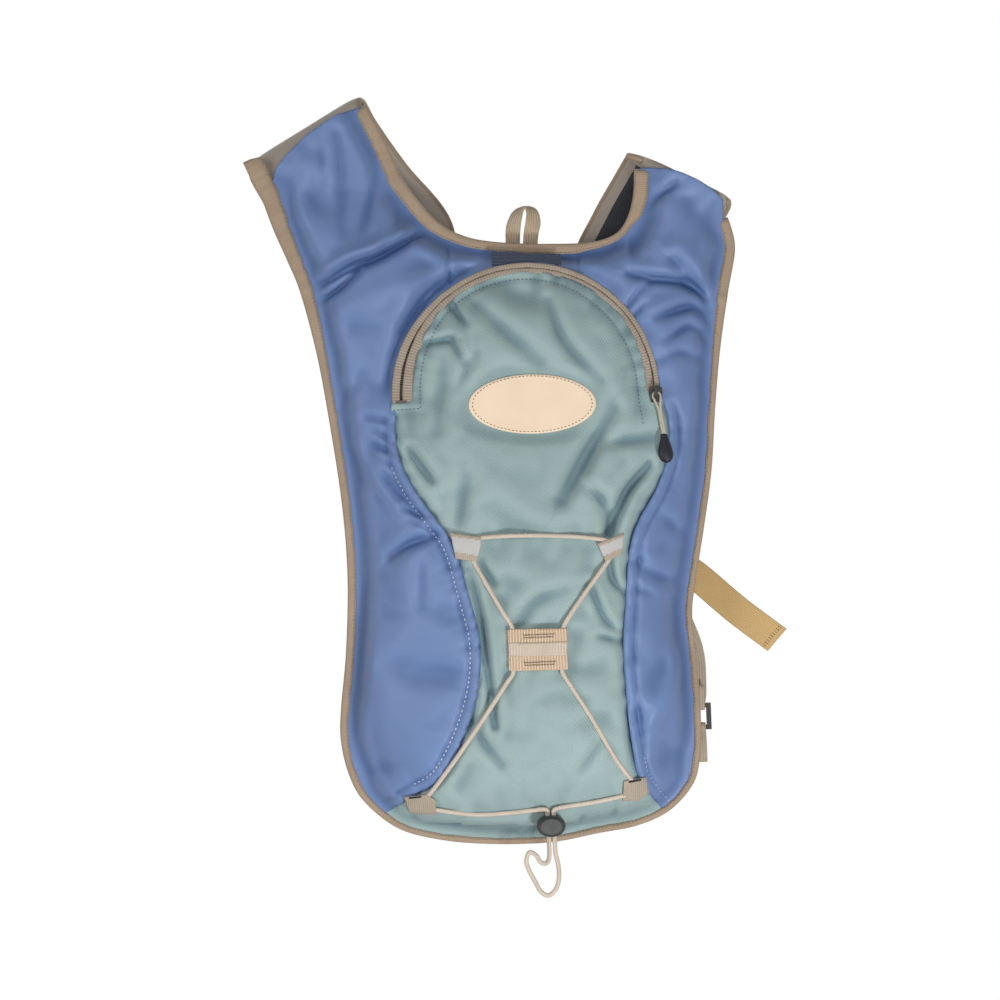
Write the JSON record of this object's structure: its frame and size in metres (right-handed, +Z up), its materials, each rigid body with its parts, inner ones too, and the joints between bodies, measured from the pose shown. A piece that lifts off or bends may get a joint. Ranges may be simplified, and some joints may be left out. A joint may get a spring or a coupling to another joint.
{
  "type": "hydration pack",
  "caption": "Small padded backpack with a hose-ready water reservoir inside, an arched zip pocket and a laced shock cord on the front, hung by its haul loop.",
  "frame": {"origin": "inside the top of the haul loop, where a hook or a hand holds the pack", "axes": "+Z up along the hanging pack, front pocket facing -Y, shoulder straps on the +Y side"},
  "size_m": [0.3528, 0.0992, 0.5402],
  "materials": {
    "blue_nylon": "lightly coated woven nylon",
    "teal_twill": "pale twill",
    "inner_fabric": "plain lining",
    "back_foam": "closed-cell foam",
    "air_mesh": "open black mesh",
    "pad_mesh": "padded black mesh",
    "binding": "ribbed tape",
    "loop_webbing": "ribbed webbing",
    "hook_patch": "hook and loop",
    "label": "smooth woven patch, left bare",
    "zip_tape": "ribbed tape",
    "zip_coil": "satin",
    "zip_slider": "dark satin",
    "pull_cord": "braided",
    "pull_tip": "moulded",
    "cord_tab": "reflective weave",
    "anchor_tab": "folded ribbon",
    "keeper": "ribbed ribbon",
    "reflector": "reflective",
    "shock_cord": "braided sheath",
    "lock_barrel": "moulded",
    "lock_plunger": "moulded",
    "spring": "drawn wire",
    "strap_face": "padded nylon",
    "webbing": "ribbed webbing",
    "tail_webbing": "ribbed webbing",
    "buckle": "moulded acetal",
    "film": "clear film",
    "port": "moulded",
    "cap": "moulded",
    "gasket": "soft",
    "tether": "moulded"
  },
  "bodies": {
    "pack": {"side_shell": "blue_nylon", "pocket_panel": "teal_twill", "pocket_lining": "inner_fabric", "back_foam": "back_foam", "back_mesh": "air_mesh", "back_pad_left": "pad_mesh", "back_pad_right": "pad_mesh", "edge_binding": "binding", "neck_binding": "binding", "haul_loop": "loop_webbing", "closure_patch": "hook_patch", "label_patch": "label", "zip_tape_outer": "zip_tape", "zip_tape_inner": "zip_tape", "zip_coil": "zip_coil", "zip_stop": "zip_coil", "cord_loop_upper_left": "cord_tab", "cord_loop_upper_right": "cord_tab", "cord_anchor_lower_left": "anchor_tab", "cord_anchor_lower_right": "anchor_tab", "cord_keeper": "keeper", "keeper_reflector": "reflector", "shock_cord": "shock_cord", "shock_cord_tail": "shock_cord", "shoulder_strap_left": "strap_face", "shoulder_strap_right": "strap_face", "strap_lining_left": "air_mesh", "strap_lining_right": "air_mesh", "strap_tab_left": "webbing", "strap_tab_right": "webbing", "lower_webbing_left": "webbing", "lower_webbing_right": "webbing", "anchor_ring_left": "buckle", "anchor_ring_right": "buckle", "anchor_tab_left": "webbing", "anchor_tab_right": "webbing", "reservoir_bag": "film", "fill_port": "port", "hose_port": "port"},
    "zip_slider": {"zip_slider": "zip_slider"},
    "zip_pull": {"zip_pull_cord": "pull_cord", "zip_pull_tip": "pull_tip"},
    "cord_lock": {"cord_lock_barrel": "lock_barrel", "cord_lock_spring": "spring"},
    "cord_lock_button": {"cord_lock_plunger": "lock_plunger"},
    "ladder_left": {"ladder_lock_left": "buckle", "webbing_tail_left": "tail_webbing"},
    "ladder_right": {"ladder_lock_right": "buckle", "webbing_tail_right": "tail_webbing"},
    "cap_ring": {"cap_tether": "tether"},
    "cap": {"fill_cap": "cap", "cap_gasket": "gasket"}
  },
  "joints": [
    {"name": "zip_slide", "type": "hinge", "parent": "pack", "child": "zip_slider", "pos_m": [-0.002, -0.026, -0.121], "axis": [0, -0.9945, 0.1045], "range_deg": [0, 176]},
    {"name": "zip_pull_swing", "type": "hinge", "parent": "zip_slider", "child": "zip_pull", "pos_m": [0.08288, -0.03244, -0.1248], "axis": [-0.9986, 0.0055, 0.052], "range_deg": [0, 150]},
    {"name": "cord_lock_slide", "type": "slide", "parent": "pack", "child": "cord_lock", "axis": [0, 0, -1], "range_m": [0, 0.009]},
    {"name": "cord_lock_press", "type": "slide", "parent": "cord_lock", "child": "cord_lock_button", "axis": [0, -1, 0], "range_m": [0, 0.0025], "stiffness_N_per_m": 300, "deforming": ["cord_lock_spring"]},
    {"name": "strap_adjust_left", "type": "hinge", "parent": "pack", "child": "ladder_left", "pos_m": [-0.081, 0.037, -0.203], "axis": [1, 0, 0], "range_deg": [0, 60]},
    {"name": "strap_adjust_right", "type": "hinge", "parent": "pack", "child": "ladder_right", "pos_m": [0.076, 0.037, -0.203], "axis": [1, 0, 0], "range_deg": [0, 60]},
    {"name": "cap_lift", "type": "slide", "parent": "pack", "child": "cap_ring", "axis": [0, 1, 0], "range_m": [0, 0.018]},
    {"name": "cap_turn", "type": "hinge", "parent": "cap_ring", "child": "cap", "pos_m": [0, 0, -0.106], "axis": [0, 1, 0], "range_deg": [0, 1081]}
  ],
  "couplings": [
    {"joint": "cap_turn", "follows": "cap_lift", "rad_per_m": 1047.2}
  ]
}
